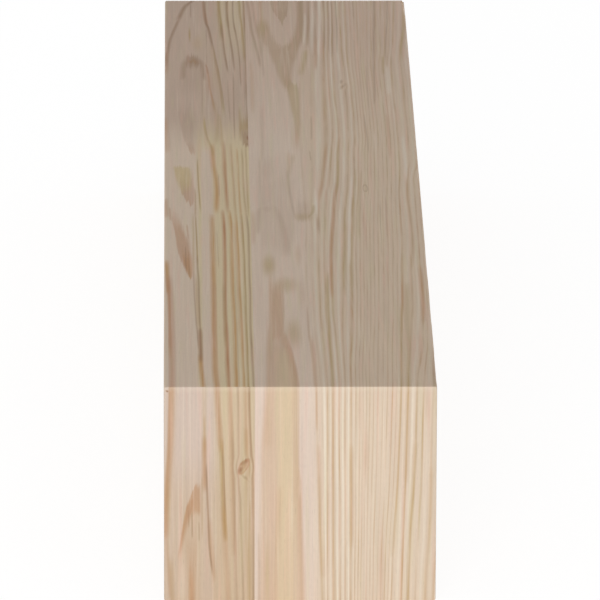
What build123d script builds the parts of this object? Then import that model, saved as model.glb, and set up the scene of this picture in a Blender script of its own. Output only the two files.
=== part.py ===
"""An edge-glued squared timber of planed softwood, cut to length.

Two staves of different width are glued edge to edge. The blank is then planed on its four long
faces, its long arrises are eased, and both ends are docked square with their sharp edges broken.

The timber lies on its broad face: +X across the broad face, +Y along the grain, +Z up.
The origin is the centre of the face that it rests on, and -Y is the end nearest the viewer.
"""

import os

from build123d import *

# Driving dimensions, in millimetres
LENGTH = 600.0
THICKNESS = 100.0
NARROW_STAVE_WIDTH = 40.0
WIDE_STAVE_WIDTH = 80.0
ARRIS_RADIUS = 1.0  # easing that the planer leaves on the four long arrises
END_BREAK = 0.4  # sharp edge taken off round each docked end

# Places that follow from them
WIDTH = NARROW_STAVE_WIDTH + WIDE_STAVE_WIDTH
GLUE_LINE_X = -WIDTH / 2 + NARROW_STAVE_WIDTH

# The glued blank, planed and docked as one piece so that its staves finish flush
with BuildPart() as blank:
    with BuildSketch(Plane.XY):
        Rectangle(WIDTH, LENGTH)
    extrude(amount=THICKNESS)
    fillet(blank.edges().filter_by(Axis.Y), ARRIS_RADIUS)
    docked_ends = blank.faces().filter_by(Axis.Y)
    chamfer(docked_ends.edges(), END_BREAK)

glue_plane = Plane.YZ.offset(GLUE_LINE_X)

# The stave on the left of the glue line, with its outer arrises eased
with BuildPart() as narrow_stave:
    add(blank.part)
    split(bisect_by=glue_plane, keep=Keep.BOTTOM)

# The stave on the right of the glue line
with BuildPart() as wide_stave:
    add(blank.part)
    split(bisect_by=glue_plane, keep=Keep.TOP)

os.makedirs("parts", exist_ok=True)

narrow_stave.part.label = "narrow_stave"
wide_stave.part.label = "wide_stave"
export_step(narrow_stave.part, "parts/narrow_stave.step")
export_step(wide_stave.part, "parts/wide_stave.step")
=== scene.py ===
"""A squared timber of planed softwood, glued up edge to edge from a narrow and a wide stave.

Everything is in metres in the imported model's frame: +X across the broad face, +Y along the grain, +Z up,
and -Y is the near end. The marks of the wood are given in millimetres as a sawyer would mark them out:
along is the frame's Y, and across is measured over the top face from the timber's left edge.
"""

import math

import bmesh
import bpy
from mathutils import Matrix, Vector, noise


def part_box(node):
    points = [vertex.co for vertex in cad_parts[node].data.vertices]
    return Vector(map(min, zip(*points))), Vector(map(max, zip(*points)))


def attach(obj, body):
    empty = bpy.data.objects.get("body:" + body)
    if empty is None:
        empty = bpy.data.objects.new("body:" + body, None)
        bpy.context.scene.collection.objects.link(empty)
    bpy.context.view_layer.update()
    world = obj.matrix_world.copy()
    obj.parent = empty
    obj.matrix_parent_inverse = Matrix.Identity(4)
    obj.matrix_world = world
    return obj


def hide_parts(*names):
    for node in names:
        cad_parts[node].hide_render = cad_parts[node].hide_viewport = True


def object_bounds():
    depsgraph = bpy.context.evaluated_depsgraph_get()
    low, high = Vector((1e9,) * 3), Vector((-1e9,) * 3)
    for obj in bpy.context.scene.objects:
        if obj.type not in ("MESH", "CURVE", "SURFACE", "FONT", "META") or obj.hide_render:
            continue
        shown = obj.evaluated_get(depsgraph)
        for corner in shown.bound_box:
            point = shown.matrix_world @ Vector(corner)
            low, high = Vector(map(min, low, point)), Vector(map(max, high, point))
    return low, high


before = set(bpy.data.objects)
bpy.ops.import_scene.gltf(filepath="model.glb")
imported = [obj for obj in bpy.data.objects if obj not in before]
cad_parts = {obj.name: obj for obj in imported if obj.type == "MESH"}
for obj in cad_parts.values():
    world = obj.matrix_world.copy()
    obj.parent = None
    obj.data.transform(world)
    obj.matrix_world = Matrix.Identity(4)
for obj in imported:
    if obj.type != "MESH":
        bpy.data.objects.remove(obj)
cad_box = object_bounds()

# The narrow stave is a strip of planed pine with strong straw-coloured ring lines and a few reddish flames.
# It is sawn close to the heart of a bent stem, so its rings open into arches along the top face. It is
# glued edge to edge to the wide stave, and the two are planed flush and docked together.

timber_low, timber_high = (Vector(corner) for corner in cad_box)
MM = 0.001
EASED_ARRIS = 1.0 * MM  # radius that the planer leaves on the four long arrises
END_BREAK = 0.4 * MM  # sharp edge taken off round each docked end
GLUE_LINE_DIP = 0.06 * MM  # how far the wood has shrunk along the glue line
SAW_MARK_DEPTH = 0.09 * MM
SAW_MARK_PITCH = 2.6 * MM
SAW_BLADE_RADIUS = 230 * MM
SAW_HUB_IN, SAW_HUB_UNDER = 0.3 * SAW_BLADE_RADIUS, 0.8 * SAW_BLADE_RADIUS  # from the lower left arris
KNOCK = 0.7 * MM  # scale of the knocks in the arrises
SLICE_ACROSS, SLICE_ALONG, SLICE_DOWN = 2.5 * MM, 8 * MM, 1 * MM  # how finely the faces are cut up
PLANED, NEAR_END, SAWN_END = 0, 1, 2  # the slots of a stave's three finishes
REACHES = {PLANED: (-301, 301), NEAR_END: (-401, -299), SAWN_END: (299, 301)}  # how far along each one runs


def stations(low, high, step, fine=()):
    """Evenly spaced places between two ends, and the fine ones that lie between them."""
    count = max(1, round((high - low) / step))
    even = [low + (high - low) * i / count for i in range(1, count)]
    return sorted(even + [place for place in fine if low < place < high])


def stave_mesh(name, low, high, glue_x):
    """A closed mesh of one stave, with its outer arrises eased, its ends broken and its faces in slices."""
    mesh = bmesh.new()
    bmesh.ops.create_cube(mesh, size=1)
    for vertex in mesh.verts:
        for axis in range(3):
            vertex.co[axis] = high[axis] if vertex.co[axis] > 0 else low[axis]

    def at(edge, axis, place):
        return all(abs(vertex.co[axis] - place) < 1e-6 for vertex in edge.verts)

    outer_x = low.x if abs(high.x - glue_x) < 1e-6 else high.x
    long_arrises = [e for e in mesh.edges if at(e, 0, outer_x) and (at(e, 2, low.z) or at(e, 2, high.z))]
    bmesh.ops.bevel(mesh, geom=long_arrises, offset=EASED_ARRIS, segments=5, profile=0.5, affect="EDGES")
    for end_y in (low.y, high.y):
        rim = [e for e in mesh.edges if at(e, 1, end_y) and not at(e, 0, glue_x)]
        bmesh.ops.bevel(mesh, geom=rim, offset=END_BREAK, segments=2, profile=0.5, affect="EDGES")

    near_glue = [glue_x + side * step * MM for side in (-1, 1) for step in (0.3, 0.8)]
    near_ends = [end + side * step * MM for end in (low.y, high.y) for side in (-1, 1) for step in (2, 5)]
    cuts = [(Vector((1, 0, 0)), x) for x in stations(low.x, high.x, SLICE_ACROSS, near_glue)]
    cuts += [(Vector((0, 1, 0)), y) for y in stations(low.y, high.y, SLICE_ALONG, near_ends)]
    cuts += [(Vector((0, 0, 1)), z) for z in stations(low.z, high.z, SLICE_DOWN)]
    for normal, place in cuts:
        everything = mesh.verts[:] + mesh.edges[:] + mesh.faces[:]
        bmesh.ops.bisect_plane(mesh, geom=everything, dist=1e-7, plane_co=normal * place, plane_no=normal)

    mesh.normal_update()
    for face in mesh.faces:
        face.smooth = True
        if face.normal.y < -0.3:
            face.material_index = NEAR_END
        elif face.normal.y > 0.3:
            face.material_index = SAWN_END
    work_surface(mesh, low, high, glue_x)
    data = bpy.data.meshes.new(name)
    mesh.to_mesh(data)
    mesh.free()
    data.set_sharp_from_angle(angle=math.radians(35))
    return data


def work_surface(mesh, low, high, glue_x):
    """Presses the marks of gluing, docking and handling into the faces, never outwards."""
    for vertex in mesh.verts:
        x, y, z = vertex.co
        if abs(y - high.y) < 1e-6 and low.z < z < high.z:
            from_hub = math.hypot(x - timber_low.x - SAW_HUB_IN, z + SAW_HUB_UNDER)
            mark = 0.5 + 0.5 * math.sin(math.tau * from_hub / SAW_MARK_PITCH)
            patch = 0.5 + 0.5 * noise.noise(Vector((x, 0, z)) * 40)
            vertex.co.y -= SAW_MARK_DEPTH * mark * patch
        if abs(x - glue_x) < 1e-6:
            for face_z, inward in ((low.z, 1), (high.z, -1)):
                if abs(z - face_z) < 1e-6:
                    vertex.co.z += inward * GLUE_LINE_DIP
        outer = min(x - timber_low.x, timber_high.x - x)
        depth = min(z - timber_low.z, timber_high.z - z)
        if max(outer, depth) < EASED_ARRIS + 1e-6:
            knock = max(0, noise.noise(Vector((x * 9, y * 23, z * 9))) - 0.12) * KNOCK
            vertex.co.x += knock if x < glue_x or x < 0 else -knock
            vertex.co.z += knock if z < timber_high.z / 2 else -knock


class Shade:
    """One socket in a material's node tree. A sum written with it adds the Math nodes that work it out."""

    def __init__(self, tree, output=None):
        self.tree = tree
        self.output = output

    def node(self, kind, settings, inputs, output=0):
        """Adds a shader node of any kind, settings first, then the values or links of its sockets."""
        made = self.tree.nodes.new("ShaderNode" + kind)
        for name, value in settings.items():
            if name == "points":
                curve = made.mapping.curves[0]
                curve.points[0].location = value[0]
                curve.points[1].location = value[-1]
                for point in value[1:-1]:
                    curve.points.new(*point)
                for point in curve.points:
                    point.handle_type = "AUTO_CLAMPED"
                made.mapping.extend = "HORIZONTAL"
                made.mapping.update()
            else:
                setattr(made, name, value)
        for name, value in inputs.items():
            if isinstance(value, Shade):
                self.tree.links.new(value.output, made.inputs[name])
            else:
                made.inputs[name].default_value = value
        return Shade(self.tree, made.outputs[output]) if len(made.outputs) else None

    def maths(self, operation, first, second=0, third=0):
        return self.node("Math", {"operation": operation}, {0: first, 1: second, 2: third})

    def __add__(self, other):
        return self.maths("ADD", self, other)

    __radd__ = __add__

    def __sub__(self, other):
        return self.maths("SUBTRACT", self, other)

    def __rsub__(self, other):
        return self.maths("SUBTRACT", other, self)

    def __mul__(self, other):
        return self.maths("MULTIPLY", self, other)

    __rmul__ = __mul__

    def __truediv__(self, other):
        return self.maths("DIVIDE", self, other)

    def most(self, other):
        return self.maths("MAXIMUM", self, other)

    def least(self, other):
        return self.maths("MINIMUM", self, other)

    def root(self):
        return self.maths("SQRT", self)

    def side(self):
        """-1, 0 or 1."""
        return self.maths("SIGN", self)

    def rise(self, low, high):
        """0 below low, 1 above high and smooth between them. With low above high it falls instead."""
        settings = {"interpolation_type": "SMOOTHSTEP"}
        inputs = {"Value": self, "From Min": min(low, high), "From Max": max(low, high)}
        inputs.update({"To Min": float(low > high), "To Max": float(low < high)})
        return self.node("MapRange", settings, inputs)

    def share_of_way(self, start, end):
        """0 at the start and 1 at the end, in a straight line that goes on beyond them."""
        inputs = {"Value": self, "From Min": start, "From Max": end}
        return self.node("MapRange", {"clamp": False}, inputs)

    def along_curve(self, points):
        """The height of a smooth curve drawn through points of (place, height), level beyond its ends."""
        places = [place for place, height in points]
        heights = [height for place, height in points]
        start, reach = min(places), max(places) - min(places)
        lowest, rise = min(heights), max(max(heights) - min(heights), 1e-3)
        drawn = [((place - start) / reach, (height - lowest) / rise) for place, height in sorted(points)]
        inputs = {"Value": self.share_of_way(start, start + reach)}
        value = self.node("FloatCurve", {"points": drawn}, inputs)
        return value if (lowest, rise) == (0, 1) else self.maths("MULTIPLY_ADD", value, rise, lowest)

    def grain(self, pitch, seed, detail=2, roughness=0.5):
        """Smooth noise about 0, from -0.5 to 0.5, with a pitch in millimetres across, along and down."""
        scale = tuple(1 / size for size in pitch)
        place = self.node("VectorMath", {"operation": "MULTIPLY"}, {0: self, 1: scale})
        shift = (seed, seed * 1.7, 3.1)
        moved = place.node("VectorMath", {"operation": "ADD"}, {0: place, 1: shift})
        inputs = {"Vector": moved, "Scale": 1, "Detail": detail, "Roughness": roughness}
        return self.node("TexNoise", {"noise_dimensions": "3D"}, inputs) - 0.5

    def mixed(self, colour, share):
        """This colour with a share of another one laid over it."""
        return stained(self, colour, share)


def stained(first, second, share):
    """A share of the second colour laid over the first."""
    settings = {"data_type": "RGBA", "clamp_factor": True}
    return share.node("Mix", settings, {0: share, 6: first, 7: second}, 2)


def colour(red, green, blue):
    """A colour as it is picked, from 0 to 255, made linear."""
    def linear(part):
        part /= 255
        return part / 12.92 if part <= 0.04045 else ((part + 0.055) / 1.055) ** 2.4
    return (linear(red), linear(green), linear(blue), 1)


class Figure:
    """Where a point of a stave lies in the figure of the wood, in millimetres.

    The heart of the stem runs above the top face, so a ring that crosses the face some way out from the
    heart is an arc that goes on down through the wood. ring_place is where the point's ring crosses the
    face. The near end carries on the figure of the top face, which runs down over the arris.
    """

    def __init__(self, tree, finish, heart_across, heart_above):
        start = Shade(tree)
        place = start.node("TexCoord", {}, {}, "Object")
        place = start.node("VectorMath", {"operation": "SCALE"}, {0: place, "Scale": 1 / MM})
        x, y, z = (place.node("SeparateXYZ", {}, {0: place}, axis) for axis in "XYZ")
        down = timber_high.z / MM - z
        self.finish = finish
        along = y - down if finish == NEAR_END else y
        self.depth = y - timber_low.y / MM if finish == NEAR_END else down
        self.place = place.node("CombineXYZ", {}, {0: x, 1: along, 2: self.depth})
        self.fibre = self.place.grain((0.4, 16, 0.4), 11, 3, 0.6)
        self.uneven = self.place.grain((2.5, 50, 2.5), 23)
        bend = self.place.grain((40, 220, 40), 5, 1) * self.depth.rise(2, 25) * 5
        self.along = along + self.uneven * 3
        self.across = x - timber_low.x / MM + self.place.grain((9, 50, 9), 3, 1) * 0.6
        teeth = 3 if finish == NEAR_END else 16
        self.jagged = self.along + self.fibre * teeth + self.place.grain((1.3, 60, 1.3), 8, 1) * teeth
        heart = self.along.along_curve(heart_across)
        sideways = self.across - heart
        above = self.along.along_curve(heart_above)
        reach = (sideways * sideways + self.depth * (self.depth + above * 2)).root()
        self.ring_place = heart + reach + bend
        flow = self.across + (self.ring_place - self.across) * self.depth.rise(2, 6)
        self.flow = place.node("CombineXYZ", {}, {0: flow, 1: along, 2: self.depth * 0.3})
        self.right_of_heart = sideways.rise(-0.5, 0.5).most(self.depth.rise(1.5, 4))
        self.on_top = self.depth.rise(5, 1.5)

    def is_seen(self, *runs, spare=13):
        """Whether points of (along, across) come more than spare into this finish's stretch of the timber."""
        ends = [along for points in runs for along, across in points]
        start, end = REACHES[self.finish]
        return min(ends) < end - spare and max(ends) > start + spare

    def line(self, place, strength, left_flank, right_flank, points):
        """A soft line along points of (along, across), with the reach of its two flanks."""
        ends = [along for along, across in points]
        start, end = min(ends), max(ends)
        fade = min(9 if self.finish == NEAR_END else 26, 0.3 * (end - start))
        strengths = [(start + fade, strength), (end - fade, strength)]
        if start > REACHES[self.finish][0]:
            strengths.insert(0, (start, 0))
        if end < REACHES[self.finish][1]:
            strengths.append((end, 0))
        away = place - self.along.along_curve(points)
        left, right = 1.25 * left_flank, 1.25 * right_flank
        flanks = [(-left, 0), (-0.4 * left, 0.7), (0, 1), (0.4 * right, 0.75), (right, 0)]
        return away.along_curve(flanks) * self.along.along_curve(strengths)

    def flame(self, left, right, softness):
        """A patch between a left and a right edge, each points of (along, across), jagged where it is sharp.

        softness is how far it takes to fade in from its left, right, near and far edge.
        """
        ends = [along for along, across in left + right]
        soft_left, soft_right, soft_near, soft_far = softness
        inside = (self.across - self.jagged.along_curve(left)).rise(0, soft_left)
        inside = inside * (self.jagged.along_curve(right) - self.across).rise(0, soft_right)
        inside = inside * self.jagged.rise(min(ends), min(ends) + soft_near)
        return inside * self.jagged.rise(max(ends), max(ends) - soft_far)

    def spot(self, along, across, half_long, half_wide, slant=0):
        """How far a point is from the middle of a small oval, with 1 on its rim."""
        wide_way = self.across - across
        long_way = (self.along - along - wide_way * slant) / half_long
        wide_way = wide_way / half_wide
        return (long_way * long_way + wide_way * wide_way).root()

    def bent_round(self, spots):
        """Lets the ring lines part round the pin knots, which are the spots that have a rim."""
        for tone, fill, rim, along, across, half_long, half_wide, slant in spots:
            if rim and self.is_seen([(along, across)], spare=0):
                near = self.spot(along, across, 2.6 * half_long, 3 * half_wide).rise(1, 0)
                self.ring_place = self.ring_place - near * (self.across - across).side() * 0.6 * half_wide

    def ring_marks(self, rings):
        """Each ring line that this finish can show, as its tone and its mask."""
        for tone, strength, left_flank, right_flank, *points in rings:
            if self.is_seen(points):
                yield tone, self.line(self.ring_place, strength, left_flank, right_flank, points)

    def skin_marks(self, lines, flames, spots):
        """Each mark in the skin of the face that this finish can show, as its tone and its mask."""
        for tone, strength, left_flank, right_flank, *points in lines:
            if self.is_seen(points):
                yield tone, self.line(self.across, strength, left_flank, right_flank, points)
        for tone, strength, softness, left, right in flames:
            if self.is_seen(left, right):
                yield tone, self.flame(left, right, softness) * strength
        for tone, fill, rim, along, across, half_long, half_wide, slant in spots:
            if self.is_seen([(along - half_long, across), (along + half_long, across)], spare=0):
                away = self.spot(along, across, half_long, half_wide, slant)
                drawn = away.rise(1.3, 0.1) * fill
                if rim:
                    drawn = drawn.most(away.rise(0.5, 0.95) * away.rise(1.4, 1) * rim)
                yield tone, drawn


def laid_over(wood, marks, share):
    """Lays the marks over the wood tone by tone, each tone with the greatest of its own masks."""
    by_tone = {}
    for tone, mask in marks:
        by_tone[tone] = by_tone[tone].most(mask) if tone in by_tone else mask
    laid = [(tone, mask * share) for tone, mask in by_tone.items()]
    for tone, mask in laid:
        wood = wood.mixed(tone, mask)
    return wood, sum(mask for tone, mask in laid)


def hidden_rings(ring_place, figure, first, seed):
    """The even rings of the wood beyond the ones that are drawn one by one."""
    turn = ring_place / HIDDEN_RING_PITCH + figure.place.grain((70, 900, 70), seed, 1) * 1.2
    part = turn.maths("FRACT", turn)
    year = turn.maths("FLOOR", turn)
    good_year = year.node("TexWhiteNoise", {"noise_dimensions": "1D"}, {"W": year}, "Value")
    line = part.rise(0.3, 0.9) * part.rise(1, 0.93) * (good_year * 0.5 + 0.4)
    return line * ring_place.rise(first, first + 2)


def finish_wood(material, wood, latewood, figure):
    """Fibre, hue and light variation, roughness and bump that planed pine has all over."""
    tree = material.node_tree
    shader = tree.nodes["Principled BSDF"]
    place = figure.place
    streak = figure.flow.grain((1.5, 80, 9), 14)
    cloud = place.grain((24, 90, 24), 20)
    hue = figure.flow.grain((2.6, 60, 9), 31)
    gleam = figure.flow.grain((1, 70, 9), 61, 1)
    pore = place.grain((0.35, 5, 0.35), 47, 1).rise(0.17, 0.26)
    fleck = place.grain((1.1, 2.2, 1.1), 71, 1)
    wood = wood.mixed(PINK_CAST, hue.rise(0.02, 0.25) * 0.24)
    wood = wood.mixed(YELLOW_CAST, hue.rise(-0.02, -0.25) * 0.2)
    wood = wood.mixed(GLEAM, gleam.rise(0.05, 0.25) * 0.2)
    light = 1 + figure.fibre * 0.15 + cloud * 0.08 + streak * 0.17 + fleck * 0.06 - pore * 0.07
    if figure.finish == SAWN_END:
        light = (light - latewood * SAWN_RINGS) * SAWN_LIGHT
    if figure.finish == NEAR_END:
        # painted highlight: a pale strip just under the near end's top arris, where the eased edge catches
        # the light
        arris_highlight = figure.along.rise(-303, -301)
        wood = wood.mixed(ARRIS_HIGHLIGHT, arris_highlight * 0.15)
    wood = wood.node("HueSaturation", {}, {"Value": light, "Color": wood})
    tree.links.new(wood.output, shader.inputs["Base Color"])
    rough = 0.58 - latewood * 0.1 + figure.fibre * 0.15
    tree.links.new(rough.output, shader.inputs["Roughness"])
    height = figure.fibre * 0.05 + streak * 0.05 - pore * 0.03
    bump = wood.node("Bump", {}, {"Height": height, "Distance": MM, "Strength": 1}, "Normal")
    tree.links.new(bump.output, shader.inputs["Normal"])
    shader.inputs["Specular IOR Level"].default_value = SHEEN


def wood_material(name):
    material = bpy.data.materials.new(name)
    material.use_nodes = True
    return material


narrow_low, narrow_high = (Vector(corner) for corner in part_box("narrow_stave"))
glue_x = narrow_high.x
NARROW_HEART_ACROSS = [(300, 17.7), (250, 15.5), (200, 13.5), (100, 12), (0, 10), (-100, 9), (-300, 8),
                       (-400, 8)]
NARROW_HEART_ABOVE = [(300, 25.4), (200, 22.4), (110, 19), (0, 15), (-150, 9.5), (-300, 5), (-400, 3)]
HIDDEN_RING_PITCH = 3.4  # between the even rings beyond the drawn ones
SHEEN = 0.14  # specular level of bare planed wood
SAWN_LIGHT, SAWN_RINGS = 0.86, 0.12  # how light a sawn end is, and how much darker its rings are
PINK_CAST = colour(236, 190, 170)
YELLOW_CAST = colour(214, 206, 160)
GLEAM = colour(240, 226, 208)
# colour of the painted highlight along the near end's top arris
ARRIS_HIGHLIGHT = colour(240, 224, 203)
NARROW_STRAW = colour(228, 208, 171)
NARROW_PINK = colour(229, 207, 185)
NARROW_GREY = colour(207, 181, 161)
END_STRAW = colour(212, 191, 161)
END_LILAC = colour(213, 193, 178)
END_TAN = colour(206, 181, 154)
END_RUST = colour(192, 153, 120)
END_GOLD = colour(180, 145, 96)
END_DARK = colour(162, 130, 101)
TAN = colour(200, 168, 122)
YELLOW = colour(210, 184, 122)
GOLD = colour(200, 148, 84)
RUST = colour(192, 138, 94)
ROSE = colour(202, 154, 122)
OLIVE = colour(180, 146, 90)
DARK = colour(156, 118, 84)
PALE = colour(237, 224, 205)
BROWN = colour(158, 112, 76)

# Ring lines right of the heart: tone, strength, left flank, right flank, and points of (along, across).
NARROW_RINGS = [
    (GOLD, 0.85, 1.6, 1.3, (-50, 22), (-100, 22.4), (-180, 22.5), (-260, 22.6), (-300, 23.5), (-312, 24)),
    (RUST, 0.45, 1.2, 0.8, (-150, 23), (-230, 23.2), (-300, 23.9), (-312, 24.3)),
    (RUST, 1, 1.3, 0.8, (-43, 27.3), (-100, 28), (-180, 27.8), (-220, 28.1), (-300, 28.7), (-312, 29.3)),
    (OLIVE, 0.5, 1, 0.8, (-150, 27.2), (-220, 27.4), (-250, 27.6)),
    (GOLD, 0.85, 1.4, 0.6, (-43, 30.5), (-100, 31.4), (-150, 31.4), (-200, 31.9), (-300, 32.3), (-312, 32.7)),
    (GOLD, 0.75, 1, 0.5, (-50, 33.4), (-100, 34), (-150, 34.3), (-200, 34.8), (-300, 35.6), (-312, 35.8)),
    (OLIVE, 0.85, 0.9, 0.4, (-50, 35.9), (-100, 36.6), (-160, 36.9), (-220, 37.1), (-300, 37.4),
     (-312, 37.8)),
    (DARK, 0.65, 0.8, 0.5, (-50, 38.3), (-100, 39), (-200, 39), (-312, 39.7)),
    (DARK, 0.3, 0.4, 0.3, (-150, 32.2), (-200, 32.6), (-312, 33.3)),
    (ROSE, 0.35, 0.7, 0.7, (-60, 32.4), (-120, 33), (-230, 33.6)),
    (TAN, 0.6, 0.4, 0.4, (-75, 24.3), (-135, 24.8)),
    (GOLD, 0.8, 1.6, 1.3, (62, 22.5), (25, 23.3), (10, 24), (0, 24.4), (-20, 24.7), (-52, 24.4)),
    (DARK, 0.45, 0.4, 0.3, (12, 25.7), (-26, 25.7)),
    (RUST, 0.8, 1.3, 0.9, (66, 28.3), (30, 28.5), (10, 28.7), (-10, 29.2), (-52, 29.7)),
    (TAN, 0.8, 0.9, 0.6, (62, 31.7), (20, 32), (0, 32.5), (-20, 32.8), (-62, 33.5)),
    (GOLD, 0.6, 0.8, 0.5, (55, 34.5), (0, 35), (-62, 35.8)),
    (OLIVE, 0.55, 0.8, 0.5, (55, 36.8), (0, 37.3), (-60, 38.2)),
    (OLIVE, 0.55, 0.7, 0.5, (60, 38.6), (-60, 39.2)),
    (OLIVE, 0.5, 0.9, 0.6, (104, 19), (90, 19.3), (80, 19.7), (68, 20.4), (60, 21.4), (48, 22.6), (38, 23)),
    (DARK, 0.85, 1, 0.6, (313, 19.3), (265, 20.3), (250, 21.7), (220, 23.7), (200, 24.8), (170, 26.4),
     (140, 27.7), (110, 28.6)),
    (RUST, 0.8, 1.2, 0.8, (313, 19.3), (280, 19.8), (255, 21.2)),
    (TAN, 0.45, 2.2, 0.6, (225, 23.4), (200, 24.8), (170, 26.4), (140, 27.7), (100, 28.8)),
    (OLIVE, 1, 1.6, 0.8, (313, 26.8), (280, 27.3), (260, 27.9), (240, 28.4), (225, 28.9)),
    (DARK, 0.75, 0.9, 0.5, (262, 28), (225, 28.9), (210, 29.4), (195, 30.1), (172, 31.2)),
    (OLIVE, 0.5, 1.4, 0.7, (313, 31.2), (280, 31.2), (250, 31.8)),
    (DARK, 0.75, 0.8, 0.5, (313, 31), (280, 31), (260, 31.4), (230, 32.4), (200, 33.5), (175, 34.3)),
    (DARK, 0.75, 0.7, 0.4, (313, 34), (270, 34.1), (240, 35.3), (210, 36.3), (190, 36.7), (150, 37.1)),
    (OLIVE, 0.8, 1, 0.6, (313, 37), (280, 37.5), (240, 38.5), (190, 39.3)),
    (RUST, 0.5, 0.8, 0.3, (313, 39.3), (275, 39.6), (240, 39.8)),
    (DARK, 0.6, 1.1, 0.3, (313, 39.5), (200, 39.7), (80, 39.7)),
    (RUST, 0.6, 0.7, 0.5, (196, 19.6), (180, 20.7), (165, 21.5), (150, 22), (130, 23.4), (108, 24.3)),
    (OLIVE, 0.4, 1.4, 1.2, (135, 23.4), (85, 25.2), (55, 24.5)),
    (DARK, 0.35, 0.3, 0.3, (255, 20.5), (185, 20.6)),
    (DARK, 0.45, 0.5, 0.4, (180, 33.4), (120, 33.4), (62, 33.6)),
    (DARK, 0.35, 0.5, 0.4, (165, 30.6), (90, 31.4)),
    (TAN, 0.7, 1.1, 0.8, (110, 26.4), (50, 27.6)),
    (OLIVE, 0.5, 0.8, 0.6, (120, 36), (60, 36.4)),
    (END_RUST, 1, 1.6, 1.2, (-288, 23.2), (-310, 23.9), (-320, 24.6), (-332, 25.3)),
    (END_GOLD, 0.95, 1.3, 1, (-323, 25), (-335, 25.6), (-345, 25.9), (-358, 26.4), (-373, 27.2)),
    (END_DARK, 0.5, 0.6, 0.4, (-328, 25.7), (-345, 26.5), (-360, 27)),
    (END_RUST, 0.6, 1.7, 1.1, (-354, 26.2), (-375, 27.3), (-388, 28), (-412, 29)),
    (END_RUST, 0.65, 1.7, 0.8, (-288, 29), (-310, 29.6), (-320, 30), (-335, 30.3), (-352, 30.8),
     (-380, 31.4)),
    (END_DARK, 0.4, 1, 0.7, (-322, 30.2), (-350, 31), (-370, 31.3), (-385, 31.7), (-412, 32.6)),
    (END_DARK, 0.5, 0.7, 0.5, (-288, 32.5), (-330, 33), (-340, 32.8), (-352, 33.6), (-375, 34.4),
     (-412, 35.6)),
    (END_RUST, 0.6, 1.3, 0.8, (-288, 35.9), (-320, 36.3), (-334, 36.6)),
    (END_GOLD, 0.5, 1.3, 1, (-318, 36.4), (-350, 36.6), (-372, 37.2), (-412, 38.6)),
    (END_RUST, 0.6, 0.9, 0.6, (-288, 37.4), (-315, 37.9), (-328, 38.4), (-340, 38.9), (-362, 39.3)),
    (END_DARK, 0.65, 0.8, 0.5, (-288, 37.5), (-315, 38), (-328, 38.5), (-345, 39.2), (-370, 39.4),
     (-412, 39.8)),
    (END_GOLD, 0.5, 0.9, 0.5, (-352, 37.8), (-372, 38.3), (-400, 38.6)),
]

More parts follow.
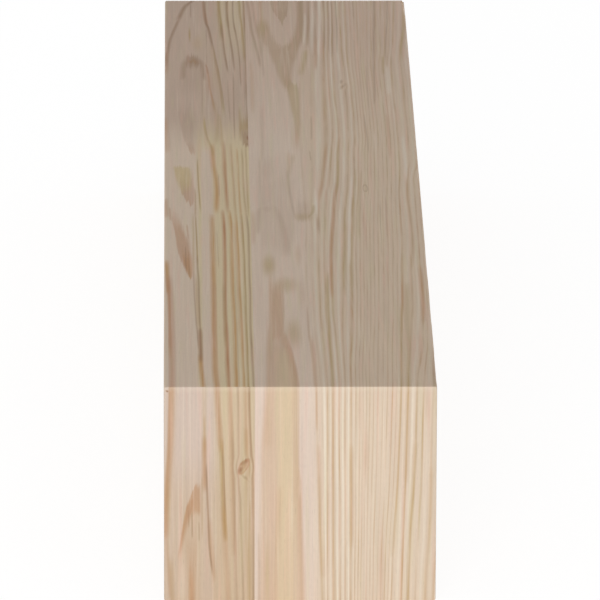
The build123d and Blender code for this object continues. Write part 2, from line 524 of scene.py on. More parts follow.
# Marks that lie in the skin of the face, in the same form.
NARROW_SKIN_LINES = [
    (GOLD, 0.8, 0.9, 1.4, (-118, 0.9), (-150, 1.4), (-172, 2.1)),
    (ROSE, 0.75, 1.1, 2.1, (-140, 1.4), (-165, 2.2), (-185, 2.6), (-220, 2.9), (-260, 3.2), (-312, 3.3)),
    (RUST, 0.45, 0.7, 0.9, (-145, 1.6), (-165, 2.1), (-185, 2.4), (-220, 2.6), (-262, 2.8)),
    (END_TAN, 0.9, 1, 2.8, (-288, 3.2), (-315, 2.6), (-330, 2.1), (-340, 1.5), (-355, 0.8)),
    (END_RUST, 0.85, 0.9, 1.9, (-288, 3.1), (-315, 2.6), (-330, 2), (-340, 1.4), (-350, 1), (-372, 0.5)),
    (END_RUST, 0.4, 0.9, 1, (-365, 0.8), (-385, 1.8), (-400, 2.6)),
    (END_GOLD, 0.4, 1.2, 1.5, (-378, 2.6), (-395, 3.4), (-412, 4)),
    (OLIVE, 0.7, 0.5, 0.4, (38, 15.6), (0, 16), (-20, 16.3), (-52, 16.9)),
    (OLIVE, 0.5, 0.5, 0.5, (-10, 14.2), (-40, 14.4), (-60, 14.4)),
    (TAN, 0.5, 0.6, 0.5, (-48, 13.4), (-100, 13.5), (-150, 13.5)),
    (OLIVE, 0.75, 0.5, 0.4, (-48, 14.5), (-80, 14.9), (-110, 15.2), (-130, 15.4)),
    (DARK, 0.65, 0.6, 0.5, (-110, 15.1), (-130, 15.3), (-160, 15.8), (-195, 16), (-230, 16.3)),
    (DARK, 0.4, 0.5, 0.4, (-135, 13.4), (-170, 13.8), (-210, 14.5), (-250, 15.4)),
    (TAN, 0.5, 0.9, 0.9, (-140, 14.6), (-190, 15), (-225, 15.6)),
    (BROWN, 0.8, 1.2, 1.1, (-216, 16), (-238, 16.2), (-252, 16.4), (-268, 16.5)),
    (GOLD, 0.85, 1.3, 1.1, (-252, 16.2), (-275, 16.7), (-290, 17.2), (-312, 17.7)),
    (END_TAN, 0.8, 1.4, 1.1, (-288, 17.5), (-320, 17.9), (-334, 17.8)),
    (END_RUST, 0.85, 1.4, 1.2, (-321, 17.8), (-334, 17.9), (-350, 18.2)),
    (END_DARK, 0.7, 0.6, 0.5, (-335, 18.6), (-350, 19.2), (-362, 19.7), (-372, 20), (-388, 21.5)),
    (END_RUST, 0.5, 1, 1.3, (-360, 20), (-372, 20.6), (-382, 21.4), (-392, 22.4)),
    (END_TAN, 0.8, 1.3, 1.1, (-366, 20), (-382, 21.2), (-392, 22.3), (-412, 24)),
    (END_DARK, 0.55, 0.4, 0.4, (-358, 12.4), (-371, 12.5)),
    (END_DARK, 0.4, 0.4, 0.4, (-357, 10.9), (-366, 11)),
    (END_DARK, 0.4, 0.4, 0.4, (-362, 15.4), (-372, 15.5)),
    (END_GOLD, 0.3, 0.5, 0.5, (-340, 16.8), (-372, 16.9)),
    (END_GOLD, 0.35, 0.7, 0.7, (-312, 17.9), (-330, 17.8)),
    (DARK, 0.55, 0.8, 1.1, (184, 0.7), (200, 0.8), (215, 1.4), (230, 2.3), (240, 3.5), (252, 5), (268, 7),
     (280, 8.5)),
    (DARK, 0.65, 1.4, 1.4, (262, 6.3), (280, 8.5), (290, 10.3), (297, 12.8), (308, 16.5)),
    (RUST, 0.3, 1, 1.2, (215, 1.2), (200, 0.8), (172, 0.8)),
    (RUST, 0.4, 1.5, 1.6, (105, 0.3), (70, 0.8), (42, 1.4)),
    (DARK, 0.4, 0.4, 0.4, (300, 12.7), (268, 12.8)),
    (DARK, 0.3, 0.4, 0.4, (185, 18.1), (100, 18.3)),
    (DARK, 0.42, 1.8, 1.8, (160, 8.8), (184, 9.4), (200, 11)),
    (DARK, 0.42, 1.6, 1.6, (202, 15.4), (190, 17.8), (160, 19.2)),
    (DARK, 0.4, 0.5, 0.7, (190, 19.8), (182, 20.6), (172, 20.9)),
    (RUST, 0.4, 1.5, 1.5, (-26, 0.3), (-58, 1.2)),
    (RUST, 0.4, 0.8, 0.8, (-40, 2.2), (-62, 3.2)),
    (RUST, 0.5, 0.5, 0.5, (-66, 10.6), (-92, 11.2)),
    (DARK, 0.45, 0.4, 0.3, (-98, 9.8), (-136, 10.1)),
    (DARK, 0.4, 0.4, 0.3, (-105, 11.4), (-146, 11.5)),
    (DARK, 0.35, 0.4, 0.4, (92, 12.3), (62, 12.4)),
]

# Flames, as (tone, strength, softness, left edge, right edge).
NARROW_FLAMES = [
    (DARK, 0.25, (1.2, 4, 8, 45), [(130, 5.4), (100, 6.5), (80, 7.5), (65, 9), (50, 11.2), (38, 12.8)],
     [(130, 17), (80, 16.5), (60, 15.8), (48, 15), (38, 13.8)]),
    (RUST, 0.32, (1, 1.5, 6, 20), [(66, 9.5), (50, 11.2), (38, 12.8)], [(66, 15.5), (48, 15.4), (38, 14)]),
    (YELLOW, 0.6, (1.5, 2.5, 20, 5), [(24, 3.2), (0, 5), (-20, 6)], [(24, 13), (0, 14), (-20, 14)]),
    (RUST, 0.5, (0.8, 1.2, 5, 26), [(10, 6), (-12, 7.2), (-22, 8.5), (-30, 10), (-40, 12)],
     [(10, 14), (-30, 14.2), (-40, 13)]),
    (RUST, 0.55, (0.9, 3.5, 5, 45), [(-36, 1.6), (-65, 3.3), (-80, 4.6), (-105, 5.8), (-122, 7.8),
      (-135, 9.3), (-149, 11)],
     [(-36, 6), (-65, 9), (-80, 11), (-95, 13.2), (-125, 13.8), (-143, 13.4), (-149, 12)]),
    (GOLD, 0.62, (0.8, 1, 4, 26), [(-100, 7), (-122, 8.5), (-135, 9.8), (-149, 11)],
     [(-100, 12.6), (-125, 13.4), (-143, 13.2), (-149, 12)]),
    (DARK, 0.56, (2.6, 2.6, 16, 8), [(176, 8), (190, 8.4), (208, 10)], [(176, 19.4), (190, 18.8), (208, 16)]),
    (GOLD, 0.45, (1.6, 1.6, 5, 4), [(189, 10.4), (199, 11.4)], [(189, 17.4), (199, 15.8)]),
    (DARK, 0.12, (3, 3, 30, 10), [(130, 5), (190, 7)], [(130, 19), (190, 19)]),
    (END_RUST, 0.8, (1, 1.2, 4, 4), [(-344, 14.5), (-347, 13), (-350, 11.4), (-354, 10.2), (-361, 8.8)],
     [(-344, 16.6), (-361, 16.7)]),
    (END_RUST, 1, (0.9, 2.4, 8, 4), [(-349, 11.8), (-354, 10.2), (-360, 8.8), (-367, 7.6), (-382, 5.2)],
     [(-349, 16), (-356, 14.6), (-360, 12.8), (-367, 11), (-376, 8.8), (-382, 7.4)]),
    (END_TAN, 0.8, (1.2, 1.5, 4, 8), [(-350, 10.6), (-360, 8.6), (-375, 6), (-402, 4.6), (-420, 4)],
     [(-350, 16.8), (-375, 16.8), (-420, 17.5)]),
    (END_RUST, 0.3, (1.8, 1.8, 4, 14), [(-366, 8.4), (-390, 10.2), (-420, 11)],
     [(-366, 16), (-390, 15.2), (-420, 14.6)]),
    (RUST, 0.45, (1.6, 2, 4, 16), [(-376, 10), (-420, 10.4)], [(-376, 13.6), (-420, 15)]),
    (OLIVE, 0.55, (1.5, 0.3, 12, 20), [(72, 35), (108, 36)], [(72, 40.4), (108, 40.4)]),
    (BROWN, 0.55, (1.6, 0.3, 4, 12), [(52, 36.6), (84, 35.8)], [(52, 40.4), (84, 40.4)]),
]

# Spots, pin knots and pinholes, as (tone, fill, rim, along, across, half length, half width, slant).
NARROW_SPOTS = [
    (END_RUST, 1, 0.9, -337.2, 35.1, 2.5, 2.3, 0.9), (BROWN, 0.75, 0, -335, 35.6, 1.3, 2.2, 0.6),
    (BROWN, 0.7, 0, -338.9, 33.6, 1.6, 1.2, 0.6), (END_DARK, 0.45, 0, -342.4, 35.8, 1, 1.7, -0.8),
    (BROWN, 0.9, 0, 68, 39.5, 7, 0.8, 0), (BROWN, 0.7, 0, 58, 39.2, 4, 1.2, 0),
    (OLIVE, 0.7, 0, 240, 12.2, 14, 0.7, 0), (BROWN, 1, 0, -301.7, 1.5, 0.6, 0.8, 0),
    (ROSE, 0.25, 0, 155, 22, 25, 3, 0), (ROSE, 0.3, 0, -280, 4, 25, 1.6, 0),
    (PALE, 0.3, 0, -392, 8, 16, 2.2, 0), (TAN, 0.3, 0, 225, 16, 14, 3, 0),
    (END_GOLD, 0.3, 0, -352, 1.4, 12, 1.2, 0), (YELLOW, 0.4, 0, 88, 19.2, 14, 0.8, 0),
]


def narrow_wood(name, finish):
    """Straw pine with strong ring lines, a clear pinkish strip on its left and flames in it."""
    material = wood_material(name)
    figure = Figure(material.node_tree, finish, NARROW_HEART_ACROSS, NARROW_HEART_ABOVE)
    figure.bent_round(NARROW_SPOTS)
    pink = figure.across.rise(17, 14)
    strip = figure.across.rise(16.5, 18) * figure.across.rise(24, 21.5)
    strip = strip * figure.along.rise(60, 40).most(figure.along.rise(230, 260))
    wood = stained(NARROW_STRAW, NARROW_PINK, (pink.most(strip) - 0.6) * figure.on_top + 0.6)
    far_straw = figure.across.rise(24, 29) * figure.along.rise(170, 260)
    grey = figure.along.rise(45, 110) * (0.9 - far_straw * 0.45)
    wood = wood.mixed(NARROW_GREY, (grey - 0.4) * figure.on_top + 0.4)
    if finish == NEAR_END:
        wood = stained(END_STRAW, END_LILAC, figure.across.rise(25, 20))
        wood = wood.mixed(END_TAN, figure.along.rise(-324, -356) * 0.65)
    uneven = (0.85 + figure.uneven * 0.9) * figure.right_of_heart
    wood, lines = laid_over(wood, figure.ring_marks(NARROW_RINGS), uneven)
    further = hidden_rings(figure.ring_place, figure, first=40.5, seed=4)
    wood = wood.mixed(TAN, further)
    skin = figure.skin_marks(NARROW_SKIN_LINES, NARROW_FLAMES, NARROW_SPOTS)
    wood, flames = laid_over(wood, skin, figure.on_top)
    finish_wood(material, wood, lines + further + flames * 0.5, figure)
    return material


def put_together(name, low, high, make_material):
    """Makes a stave, dresses it in its three finishes and lets it stand for its CAD node."""
    stave = bpy.data.objects.new(name + "_wood", stave_mesh(name + "_wood", low, high, glue_x))
    bpy.context.scene.collection.objects.link(stave)
    for finish, word in ((PLANED, "planed"), (NEAR_END, "near_end"), (SAWN_END, "sawn_end")):
        stave.data.materials.append(make_material(name + "_" + word, finish))
    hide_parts(name)
    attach(stave, "root")


put_together("narrow_stave", narrow_low, narrow_high, narrow_wood)

# The wide stave is a paler board of the same pine. Its rings close into pointed arches at the far end and
# open into an orange band towards the near end, with fine even lines on its right. It is glued and planed
# with the narrow one.

wide_low, wide_high = (Vector(corner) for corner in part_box("wide_stave"))
WIDE_HEART_ACROSS = [(300, 58.3), (225, 57.5), (150, 59.5), (75, 61), (0, 58), (-75, 55), (-150, 52.5),
                     (-225, 51), (-300, 51.5), (-400, 51.5)]
WIDE_HEART_ABOVE = [(300, 5.5), (252, 8), (215, 9.2), (190, 11.1), (150, 12.4), (90, 12.5), (0, 13.4),
                    (-80, 13.6), (-150, 12.8), (-220, 12), (-300, 10.2), (-400, 7.7)]
WIDE_CREAM = colour(225, 202, 177)
WIDE_PINK = colour(228, 206, 186)
WIDE_GREY = colour(214, 187, 166)
END_CREAM = colour(225, 205, 183)
END_PINK = colour(227, 207, 191)
BAND_ORANGE = colour(218, 191, 166)
BAND_YELLOW = colour(221, 199, 166)
HONEY = colour(189, 158, 124)
BUFF = colour(203, 172, 136)
RUSSET = colour(198, 152, 112)
MOSS = colour(190, 162, 112)
UMBER = colour(170, 136, 104)

# Ring lines followed from the far end over the near arris and down the near end, from left to right, as
# points of (along, across).
NEAR_ARRIS = -300
WIDE_FOLLOWED = [
    [(300, 72.7), (260, 71.5), (225, 70.4), (195, 68.4), (165, 66.4), (130, 65.3), (80, 65), (0, 65.5),
     (-60, 66), (-130, 65), (-200, 65), (-260, 66), (-300, 67), (-340, 68.2), (-370, 69.2), (-400, 70.2)],
    [(300, 79.6), (240, 79), (200, 78.3), (80, 78), (50, 77), (20, 75.4), (-8, 74), (-20, 72.8), (-60, 71.6),
     (-150, 70.7), (-190, 70.5), (-220, 71), (-300, 72), (-400, 72.2)],
    [(300, 83.6), (260, 83.2), (200, 82.3), (150, 82.3), (80, 83.5), (60, 83.2), (45, 82.5), (5, 81.7),
     (-25, 80), (-50, 79), (-100, 77), (-170, 76.1), (-240, 77), (-300, 77.2), (-400, 78)],
    [(300, 88), (250, 87.3), (200, 87.5), (150, 88.2), (100, 88.2), (45, 87.5), (0, 86.5), (-35, 85),
     (-55, 84), (-100, 83.2), (-150, 82), (-200, 80.5), (-240, 79.8), (-300, 79.8), (-400, 80.3)],
    [(300, 90.2), (200, 90), (150, 90.8), (75, 91.2), (45, 90.3), (0, 89.5), (-60, 87.3), (-100, 86.3),
     (-160, 85.5), (-220, 84.5), (-300, 82.6), (-400, 82.8)],
    [(300, 115), (250, 113.3), (220, 112.5), (170, 110.6), (90, 111.5), (30, 111.3), (-30, 110),
     (-100, 109.5), (-140, 108.5), (-200, 107), (-250, 105.6), (-300, 104.4), (-330, 103.5), (-350, 102.7),
     (-370, 101.5), (-400, 100.5)],
    [(300, 119.5), (240, 118), (210, 116.3), (190, 116), (150, 116.5), (40, 116.5), (10, 115), (-20, 114.1),
     (-65, 114.5), (-100, 114.4), (-120, 113.4), (-175, 112.5), (-230, 110.4), (-280, 108.2), (-300, 107.6),
     (-340, 106.5), (-400, 105)],
    [(300, 123), (200, 121), (150, 120.5), (30, 119.7), (0, 117.5), (-60, 117.4), (-130, 117), (-160, 117.3),
     (-210, 116.4), (-240, 115.6), (-260, 114.2), (-300, 111.5), (-340, 110.5), (-365, 108.8), (-400, 107.7)],
    [(300, 128), (0, 123), (-200, 121), (-260, 119.6), (-300, 118.8), (-320, 118), (-355, 117.8), (-385, 116),
     (-400, 115.5)],
]

# The fine lines as they stand at the near arris: (across, width, strength). The pale ones lie between.
FINE_START, FINE_END = 60, 121
WIDE_FINE_LINES = [
    (67, 1.3, 0.3), (69.3, 0.8, 0.2), (72, 1.2, 0.7), (74.4, 1.1, 0.7), (77.2, 0.9, 0.9), (79.8, 0.9, 0.8),
    (82.5, 1.2, 0.9), (84.5, 0.7, 0.6), (86.2, 0.7, 0.6), (87.7, 0.7, 0.7), (89.1, 0.6, 0.5),
    (90.6, 0.7, 0.6), (92.3, 0.7, 0.7), (94.2, 0.8, 0.6), (96.4, 0.7, 0.6), (98.4, 0.8, 0.7),
    (100.5, 0.8, 0.7), (102.4, 0.7, 0.5), (104.4, 1, 0.9), (107.6, 1.1, 0.8), (111.5, 1.3, 0.8),
    (114.5, 1.2, 0.6), (118.8, 1.4, 0.5),
]
WIDE_PALE_LINES = [
    (70.4, 1.6, 0.9), (73.2, 1, 0.7), (76, 1.2, 1), (78.6, 1, 1), (81.2, 1.1, 0.9), (83.6, 0.8, 0.5),
    (85.4, 0.7, 0.3), (93.2, 0.7, 0.3), (103.4, 0.9, 0.5), (106.1, 1.2, 0.5), (109.6, 1.6, 0.6),
    (116.5, 1.6, 0.4),
]

# The wide stave's own ring lines, skin lines, flames and spots, in the forms that the narrow one's have.
WIDE_RINGS = [
    (RUSSET, 0.5, 1.1, 0.8, (62, 77.6), (50, 77), (25, 75.8), (5, 74.7), (-10, 73.9), (-32, 72.2)),
    (MOSS, 0.6, 1, 0.8, (70, 83.4), (45, 82.5), (5, 81.7), (-22, 80.3)),
    (RUSSET, 0.8, 1.3, 0.8, (-2, 81.4), (-30, 79.7), (-50, 79), (-75, 78), (-100, 77), (-135, 76.4),
     (-178, 76.1)),
    (UMBER, 0.75, 2, 1.5, (313, 68), (270, 67.5), (240, 67), (215, 65.6)),
    (UMBER, 0.4, 1.3, 0.8, (313, 75.6), (280, 75.2), (250, 74.7), (200, 73.9)),
    (RUSSET, 0.5, 1, 0.8, (240, 75), (205, 74.4), (178, 73.8)),
    (UMBER, 0.6, 1.3, 0.9, (313, 72.4), (280, 71.8), (250, 71.1), (216, 70.2)),
    (UMBER, 0.5, 0.7, 0.5, (313, 79.4), (260, 79.2), (210, 78.6)),
    (UMBER, 0.5, 0.6, 0.4, (313, 81.6), (255, 81.4), (205, 80.8)),
    (UMBER, 0.55, 0.6, 0.4, (313, 83.4), (255, 83.2), (200, 82.6)),
    (UMBER, 0.6, 0.6, 0.4, (313, 85.6), (255, 85.4), (205, 84.8)),
    (PALE, 0.5, 0.9, 0.9, (313, 74), (280, 73.6), (250, 73), (205, 72.2)),
    (PALE, 0.5, 0.8, 0.8, (313, 77.2), (280, 77), (240, 76.4), (200, 75.6)),
    (PALE, 0.45, 0.9, 0.9, (280, 69.8), (250, 69.3), (220, 68.6)),
    (MOSS, 0.6, 2, 1.6, (216, 69.6), (192, 68.2), (168, 66.2)),
    (MOSS, 0.65, 1.2, 0.8, (-135, 74.6), (-190, 74), (-250, 74.2), (-312, 74.4)),
    (MOSS, 0.65, 1.1, 1, (313, 119.7), (260, 119), (240, 118), (225, 117), (190, 116)),
    (UMBER, 0.5, 0.7, 0.5, (313, 111.9), (270, 110.8), (225, 109), (190, 108)),
    (UMBER, 0.55, 0.9, 0.6, (313, 105.2), (270, 104.4), (225, 103.2), (120, 101.6)),
    (UMBER, 0.4, 0.6, 0.4, (313, 94.2), (265, 94)),
    (BUFF, 0.6, 1, 0.7, (10, 114.6), (-40, 114.2), (-65, 114.6), (-100, 114.4), (-136, 112.9)),
    (RUSSET, 0.75, 1.4, 1, (-126, 117), (-150, 117.3), (-180, 117), (-215, 116.3)),
    (UMBER, 0.5, 0.9, 0.9, (-250, 119.8), (-312, 118.9)),
    (MOSS, 0.5, 1.3, 0.8, (-180, 107.4), (-250, 105.6), (-312, 104.4)),
    (BUFF, 0.45, 1.3, 0.7, (-288, 104.5), (-330, 103.4), (-350, 102.7), (-380, 101)),
    (BUFF, 0.5, 1.5, 1.2, (-288, 107.6), (-325, 107), (-345, 106.4)),
    (MOSS, 0.5, 1.5, 0.8, (-325, 111), (-350, 109.8), (-372, 108.4), (-412, 107.4)),
    (BUFF, 0.4, 1.3, 1.1, (-336, 118), (-370, 117), (-385, 116), (-412, 115)),
    (RUSSET, 0.45, 1.2, 0.9, (-226, 65.8), (-262, 66.6), (-312, 67.2)),
    (RUSSET, 0.45, 0.6, 0.6, (-288, 67), (-312, 67.2), (-322, 67.3)),
    (RUSSET, 0.3, 1, 1.4, (-326, 67.6), (-350, 68.6), (-365, 69), (-390, 70.2)),
    (MOSS, 0.3, 1, 0.8, (-340, 68.2), (-365, 69), (-412, 70.6)),
    (BUFF, 0.5, 1, 0.8, (-288, 74.4), (-330, 74.5), (-350, 74.6), (-412, 75.8)),
    (BUFF, 0.6, 1.3, 1.1, (-326, 82.6), (-350, 82.7), (-376, 82.7)),
    (MOSS, 0.5, 1.2, 0.8, (205, 107), (190, 107), (170, 106.9)),
    (RUSSET, 0.45, 1, 0.7, (110, 107), (70, 107), (30, 107.1)),
    (PALE, 0.5, 1.2, 1.2, (190, 108.6), (135, 108.8)),
    (PALE, 0.6, 1, 1, (75, 113.8), (-5, 113.8)),
    (MOSS, 0.45, 1.4, 1, (-60, 83.9), (-110, 83), (-175, 81.5)),
    (MOSS, 0.5, 1, 0.8, (-60, 87.3), (-110, 86.2), (-165, 85.4)),
    (MOSS, 0.5, 1, 0.6, (20, 90.4), (-40, 88.4), (-90, 87.2)),
    (MOSS, 0.4, 1, 0.6, (20, 93), (-40, 91), (-90, 90)),
    (PALE, 0.6, 0.8, 0.8, (10, 88.4), (-50, 86.2), (-130, 84.6)),
    (RUSSET, 0.4, 1, 0.7, (-110, 109.2), (-165, 108), (-230, 106.2)),
    (MOSS, 0.5, 1.8, 1.4, (-150, 110.4), (-230, 108.8), (-300, 107.4), (-312, 107)),
]

WIDE_SKIN_LINES = [
    (UMBER, 0.5, 1, 0.8, (313, 40.6), (280, 42), (250, 43), (225, 44.6), (205, 46), (180, 47)),
    (UMBER, 0.35, 1, 0.8, (313, 43), (270, 44.6), (235, 46.6), (195, 48)),
    (RUSSET, 0.45, 1.3, 1, (313, 47.8), (270, 47.9), (245, 48)),
    (UMBER, 0.22, 0.8, 0.7, (238, 47.8), (200, 48), (165, 48.3)),
    (UMBER, 0.22, 1, 1, (120, 46.8), (60, 46.6), (20, 46)),
    (UMBER, 0.22, 1, 1, (40, 45.2), (-30, 44.8)),
    (RUSSET, 0.3, 1, 1.2, (200, 41.8), (160, 42.4), (105, 42.4)),
    (RUSSET, 0.3, 1.2, 1.2, (-45, 41.2), (-100, 41)),
    (UMBER, 0.35, 1, 1, (22, 57.6), (-12, 58.4), (-26, 59), (-42, 59.7), (-62, 60.8)),
    (MOSS, 0.5, 1, 1, (-36, 69.8), (-48, 69), (-56, 67), (-62, 65)),
    (UMBER, 0.28, 1.6, 1.2, (-36, 46), (-50, 44.2), (-84, 43.4)),
    (UMBER, 0.3, 3.4, 2.2, (-30, 47.5), (-40, 51.5), (-55, 53.6), (-70, 54.8), (-92, 56.2), (-118, 56.6)),
    (RUSSET, 0.35, 0.8, 0.8, (-136, 48.4), (-175, 48), (-222, 47.4)),
    (RUSSET, 0.3, 1.4, 2, (-195, 48), (-240, 46.9), (-312, 46)),
    (RUSSET, 0.55, 3, 0.9, (-218, 53.4), (-240, 55.2), (-250, 56.4), (-265, 57.4), (-280, 58.3),
     (-312, 59.1)),
    (RUSSET, 0.25, 2.6, 0.8, (-288, 59), (-330, 59), (-356, 58.6)),
    (RUSSET, 0.3, 2.2, 1.2, (-348, 59.4), (-362, 60.2), (-380, 61.2), (-412, 62.4)),
    (RUSSET, 0.2, 2, 2, (-345, 51.5), (-372, 49.8), (-412, 48.2)),
    (RUSSET, 0.18, 2, 2.5, (-288, 45.6), (-312, 45.6), (-330, 45)),
    (UMBER, 0.25, 0.6, 0.6, (-366, 41.7), (-412, 41.9)),
    (UMBER, 0.35, 0.5, 0.5, (105, 70.4), (62, 70.2)),
    (UMBER, 0.4, 0.4, 0.4, (48, 69), (30, 69.3)),
    (UMBER, 0.35, 0.4, 0.4, (110, 96), (40, 97)),
    (UMBER, 0.3, 0.5, 0.4, (40, 90), (5, 89.6)),
    (UMBER, 0.3, 0.4, 0.4, (190, 98.6), (110, 98.4)),
    (UMBER, 0.3, 0.4, 0.4, (-30, 100.6), (-120, 99.8)),
    (UMBER, 0.3, 0.4, 0.4, (-20, 103.4), (-90, 102.8)),
    (UMBER, 0.3, 0.5, 0.5, (-185, 64.5), (-240, 64.8)),
]

WIDE_FLAMES = [
    (HONEY, 0.5, (0.6, 0.6, 4, 4), [(252, 58.2), (262, 57), (272, 55.5), (282, 53.5), (340, 50.6)],
     [(252, 58.5), (265, 59.5), (272, 61), (280, 61.5), (340, 63.3)]),
    (UMBER, 0.3, (0.6, 0.6, 4, 14), [(252, 58.2), (262, 57), (272, 55.5), (282, 53.5), (290, 53)],
     [(252, 58.5), (265, 59.5), (272, 61), (280, 61.5), (290, 61.9)]),
    (HONEY, 0.5, (2.6, 3, 12, 24), [(196, 52), (215, 49.5), (225, 47.6), (240, 45.6), (270, 45)],
     [(196, 58), (215, 58.5), (225, 56.5), (240, 54.4), (262, 53), (270, 52.4)]),
    (HONEY, 0.7, (3, 2.2, 12, 50), [(204, 54), (220, 58.4), (230, 61), (250, 63.4), (270, 64.4), (340, 65)],
     [(204, 66.6), (225, 68), (240, 69.2), (340, 71)]),
    (HONEY, 0.6, (2.8, 3, 20, 12), [(140, 57.4), (170, 54.2), (185, 52.6), (200, 50.8), (224, 48.4)],
     [(140, 63), (165, 63.2), (190, 64.4), (200, 66), (224, 68.4)]),
    (MOSS, 0.55, (2, 1.8, 36, 24), [(42, 61.2), (75, 61.6), (120, 59.6), (150, 58.2), (180, 55.6)],
     [(42, 65.4), (120, 66), (150, 65.6), (160, 62.7), (180, 62)]),
    (MOSS, 0.3, (2, 2.5, 16, 16), [(-4, 57.4), (50, 56.4)], [(-4, 60), (25, 62), (50, 65)]),
    (UMBER, 0.22, (2.2, 2.2, 8, 30), [(-64, 61), (-52, 60.3), (-20, 60.5)],
     [(-64, 67.5), (-52, 68.8), (-20, 68.5)]),
    (UMBER, 0.14, (2, 3, 30, 30), [(-120, 44), (20, 42)], [(-120, 60), (-60, 62), (20, 60)]),
    (RUSSET, 0.36, (2.6, 2.8, 10, 24), [(-240, 45.6), (-205, 46.2), (-150, 47)],
     [(-240, 55), (-205, 55.2), (-150, 54.4)]),
    (RUSSET, 0.14, (2.6, 2.8, 4, 20), [(-312, 43.8), (-235, 45.4)], [(-312, 60), (-280, 59.6), (-235, 56)]),
]

WIDE_SPOTS = [
    (UMBER, 0.5, 0, 160, 86, 4, 0.9, 0), (UMBER, 0.45, 0.2, 152, 86.7, 3, 1.5, 2),
    (UMBER, 0.3, 0, 142, 87.6, 8, 0.5, -3), (UMBER, 0.1, 0.35, -12, 94.2, 5, 1.1, 0),
    (PALE, 0.8, 0, -35, 70.9, 22, 1, 0), (UMBER, 0.4, 0, -68, 71.3, 15, 1, 0),
    (MOSS, 0.65, 0, -128, 48, 17, 3.6, 0), (MOSS, 0.45, 0, -157, 55.6, 13, 5.6, 0),
    (MOSS, 0.5, 0, -226, 58, 22, 4.2, 0), (MOSS, 0.4, 0, -56, 64.5, 7, 5, 0),
    (UMBER, 0.25, 0, -44, 48, 9, 4, 0), (RUSSET, 0.22, 0, -112, 61.5, 18, 1.8, 0),
    (RUSSET, 0.18, 0, -170, 62.5, 24, 2.2, 0), (RUSSET, 0.16, 0, 202, 61.6, 8, 1.4, 0),
    (RUSSET, 0.18, 0, 66, 62.5, 26, 2, 0), (UMBER, 0.18, 0, 15, 48, 25, 5, 0),
    (PALE, 0.15, 0, 60, 53, 28, 4, 0), (MOSS, 0.6, 0, 251, 48.6, 18, 3.4, 0),
    (MOSS, 0.3, 0, -388, 45.6, 20, 1.6, 0), (BAND_YELLOW, 0.6, 0, -350, 54.5, 55, 3.2, 0),
    (ROSE, 0.25, 0, -308, 116, 10, 1.6, 0), (ROSE, 0.25, 0, -332, 89, 14, 1.5, 0),
    (ROSE, 0.25, 0, -384, 96, 22, 1.6, 0), (ROSE, 0.2, 0, -310, 86, 12, 1.3, 0),
    (ROSE, 0.22, 0, -250, 114, 34, 1.4, 0), (ROSE, 0.2, 0, -75, 92.5, 30, 1.2, 0),
]

# The edges of the orange band, as points of (along, across).
BAND_LEFT = [(-138, 49), (-158, 46.4), (-205, 45.8), (-240, 44.6), (-300, 43.4), (-315, 42.2), (-330, 41.4),
             (-350, 41), (-430, 40)]
BAND_RIGHT = [(-138, 52), (-158, 54.4), (-200, 54.9), (-220, 54.4), (-238, 55), (-250, 57.2), (-265, 58.2),
              (-280, 59.1), (-300, 59.8), (-335, 60.1), (-345, 61.3), (-375, 61.8), (-430, 63.2)]


def followed_place(figure):
    """Where the ring through a point stands at the near arris, worked out between the followed lines."""
    followed = [(dict(points)[NEAR_ARRIS], figure.along.along_curve(points)) for points in WIDE_FOLLOWED]
    first_at, first = followed[0]
    last_at = followed[-1][0]
    place = (figure.ring_place - first).least(0) + first_at
    for (left_at, left), (right_at, right) in zip(followed, followed[1:]):
        share = ((figure.ring_place - left) / (right - left)).most(0)
        if right_at != last_at:
            share = share.least(1)
        place = place + share * (right_at - left_at)
    return place


def crests(place, lines, left, top, right):
    """Fine lines as crests on a curve, with their left foot, top and right foot as shares of their width."""
    points = [(FINE_START, 0), (FINE_END, 0)]
    for across, width, strength in lines:
        points += [(across + left * width, 0), (across + top * width, strength), (across + right * width, 0)]
    return place.along_curve(points)


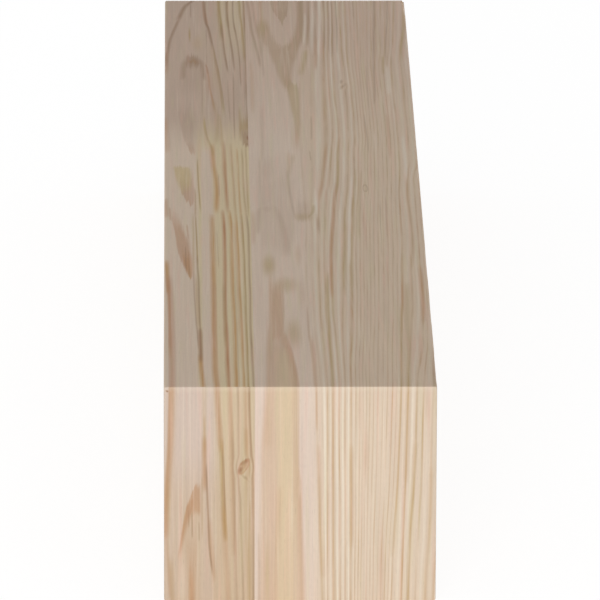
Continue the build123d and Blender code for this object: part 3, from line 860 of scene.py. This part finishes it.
def wide_wood(name, finish):
    """Pale pine with arches, an orange band and fine lines."""
    material = wood_material(name)
    figure = Figure(material.node_tree, finish, WIDE_HEART_ACROSS, WIDE_HEART_ABOVE)
    figure.bent_round(WIDE_SPOTS)
    place = followed_place(figure)
    cream, pink = (END_CREAM, END_PINK) if finish == NEAR_END else (WIDE_CREAM, WIDE_PINK)
    wood = stained(cream, pink, figure.across.rise(70, 64) * figure.on_top)
    wood = wood.mixed(WIDE_GREY, figure.along.rise(30, 290) * 0.9)
    band = figure.flame(BAND_LEFT, BAND_RIGHT, (3.2, 1.6, 4, 30)) * figure.on_top
    wood = wood.mixed(BAND_ORANGE, band)
    yellow = figure.across.rise(48, 51.5) * figure.across.rise(58.5, 56) * figure.along.rise(-240, -262)
    wood = wood.mixed(BAND_YELLOW, band * yellow * 0.8)
    tone = figure.place.grain((5, 80, 5), 29)
    broken = figure.place.grain((1.6, 26, 1.6), 37, 1) * 1.3 + figure.uneven * 1.5
    fine = crests(place, WIDE_FINE_LINES, -0.75, -0.1, 0.45) * (0.62 + broken) * figure.right_of_heart
    clear = 0.85 if finish == NEAR_END else 0.5
    pale = crests(place, WIDE_PALE_LINES, -0.5, 0, 0.5) * (clear - figure.uneven) * figure.right_of_heart
    wood = wood.mixed(PALE, pale)
    wood = wood.mixed(BUFF, fine * 1.15)
    wood = wood.mixed(RUSSET, fine * tone.rise(0, 0.2) * 0.6)
    wood = wood.mixed(MOSS, fine * tone.rise(0, -0.2) * 0.6)
    uneven = (0.9 + figure.uneven * 0.6) * figure.right_of_heart
    wood, lines = laid_over(wood, figure.ring_marks(WIDE_RINGS), uneven)
    further = hidden_rings(place, figure, first=120.5, seed=8)
    wood = wood.mixed(BUFF, further)
    skin = figure.skin_marks(WIDE_SKIN_LINES, WIDE_FLAMES, WIDE_SPOTS)
    wood, flames = laid_over(wood, skin, figure.on_top)
    finish_wood(material, wood, fine + lines + further + flames * 0.5, figure)
    return material


put_together("wide_stave", wide_low, wide_high, wide_wood)

# The floor is a wide sheet of plain white card. The camera sees it as white paper, with only the
# timber's soft shadow on it, and it throws back a little light on the timber's sides.

FLOOR_HALF = 8.0
FLOOR_LIGHTS = 0.8  # what the floor throws back on the timber
FLOOR_GLOW, FLOOR_SHADED = 0.86, 0.25  # what is seen of it: plain white, and a part that shadow darkens


def grey(level):
    return (level, level, level, 1)


floor_mesh = bpy.data.meshes.new("floor")
corners = [(x * FLOOR_HALF, y * FLOOR_HALF, timber_low.z) for x, y in ((-1, -1), (1, -1), (1, 1), (-1, 1))]
floor_mesh.from_pydata(corners, [], [(0, 1, 2, 3)])
floor = bpy.data.objects.new("floor", floor_mesh)
bpy.context.scene.collection.objects.link(floor)

card = bpy.data.materials.new("white_card")
card.use_nodes = True
card.node_tree.nodes.clear()
start = Shade(card.node_tree)
seen = start.node("LightPath", {}, {}, "Is Camera Ray")
for kind in ("Is Glossy Ray", "Is Transmission Ray"):
    seen = seen.most(start.node("LightPath", {}, {}, kind))
plain = start.node("BsdfDiffuse", {}, {"Color": grey(FLOOR_LIGHTS)})
shaded = start.node("BsdfDiffuse", {}, {"Color": grey(FLOOR_SHADED)})
glow = start.node("Emission", {}, {"Color": grey(1), "Strength": FLOOR_GLOW})
paper = start.node("AddShader", {}, {0: shaded, 1: glow})
surface = start.node("MixShader", {}, {0: seen, 1: plain, 2: paper})
start.node("OutputMaterial", {}, {"Surface": surface})
floor_mesh.materials.append(card)

# The light is a pale room with one large soft lamp low behind the camera, so that the near end is lit
# fully and the top mostly by the room. Three weak lamps keep the other sides from going dull.

ROOM_LIGHT = 0.5
world = bpy.data.worlds.new("pale_room")
bpy.context.scene.world = world
world.use_nodes = True
world.node_tree.nodes.clear()
start = Shade(world.node_tree)
seen = start.node("LightPath", {}, {}, "Is Camera Ray")
strength = seen * (1 - ROOM_LIGHT) + ROOM_LIGHT
background = start.node("Background", {}, {"Color": grey(1), "Strength": strength})
start.node("OutputWorld", {}, {"Surface": background})


def soft_lamp(name, place, width, height, power):
    """A broad lamp that points at the middle of the timber."""
    lamp = bpy.data.lights.new(name, "AREA")
    lamp.shape = "RECTANGLE"
    lamp.size = width
    lamp.size_y = height
    lamp.energy = power
    holder = bpy.data.objects.new(name, lamp)
    holder.location = place
    to_timber = (timber_low + timber_high) / 2 - Vector(place)
    holder.rotation_euler = to_timber.to_track_quat("-Z", "Y").to_euler()
    holder.visible_camera = False
    bpy.context.scene.collection.objects.link(holder)


soft_lamp("key_lamp", (-0.5, -3.2, 0.38), width=1.4, height=0.8, power=46)
for side, place in (("left", (-2.4, 0.3, 0.2)), ("right", (2.4, 0.3, 0.2)), ("far", (0.3, 2.9, 0.2))):
    soft_lamp(side + "_lamp", place, width=1.2, height=0.3, power=6)

# The camera stands four metres off with a long lens and looks down over the near end. It is just inside
# the line of the timber's left side, so that neither side shows.

LENS = 540
CAMERA_PLACE = (-0.0534, -4.0352, 1.3763)
CAMERA_YAW, CAMERA_PITCH, CAMERA_ROLL = 0.8141, 18.3101, 0.1706
camera_data = bpy.data.cameras.new("camera")
camera_data.lens = LENS
camera_data.sensor_width = 36
camera_data.clip_end = 100
camera = bpy.data.objects.new("camera", camera_data)
turned = Matrix.Rotation(math.radians(-CAMERA_YAW), 4, "Z")
tilted = Matrix.Rotation(math.radians(90 - CAMERA_PITCH), 4, "X")
rolled = Matrix.Rotation(math.radians(CAMERA_ROLL), 4, "Z")
camera.matrix_world = Matrix.Translation(CAMERA_PLACE) @ turned @ tilted @ rolled
bpy.context.scene.collection.objects.link(camera)
bpy.context.scene.camera = camera
bpy.context.scene.view_settings.view_transform = "Standard"
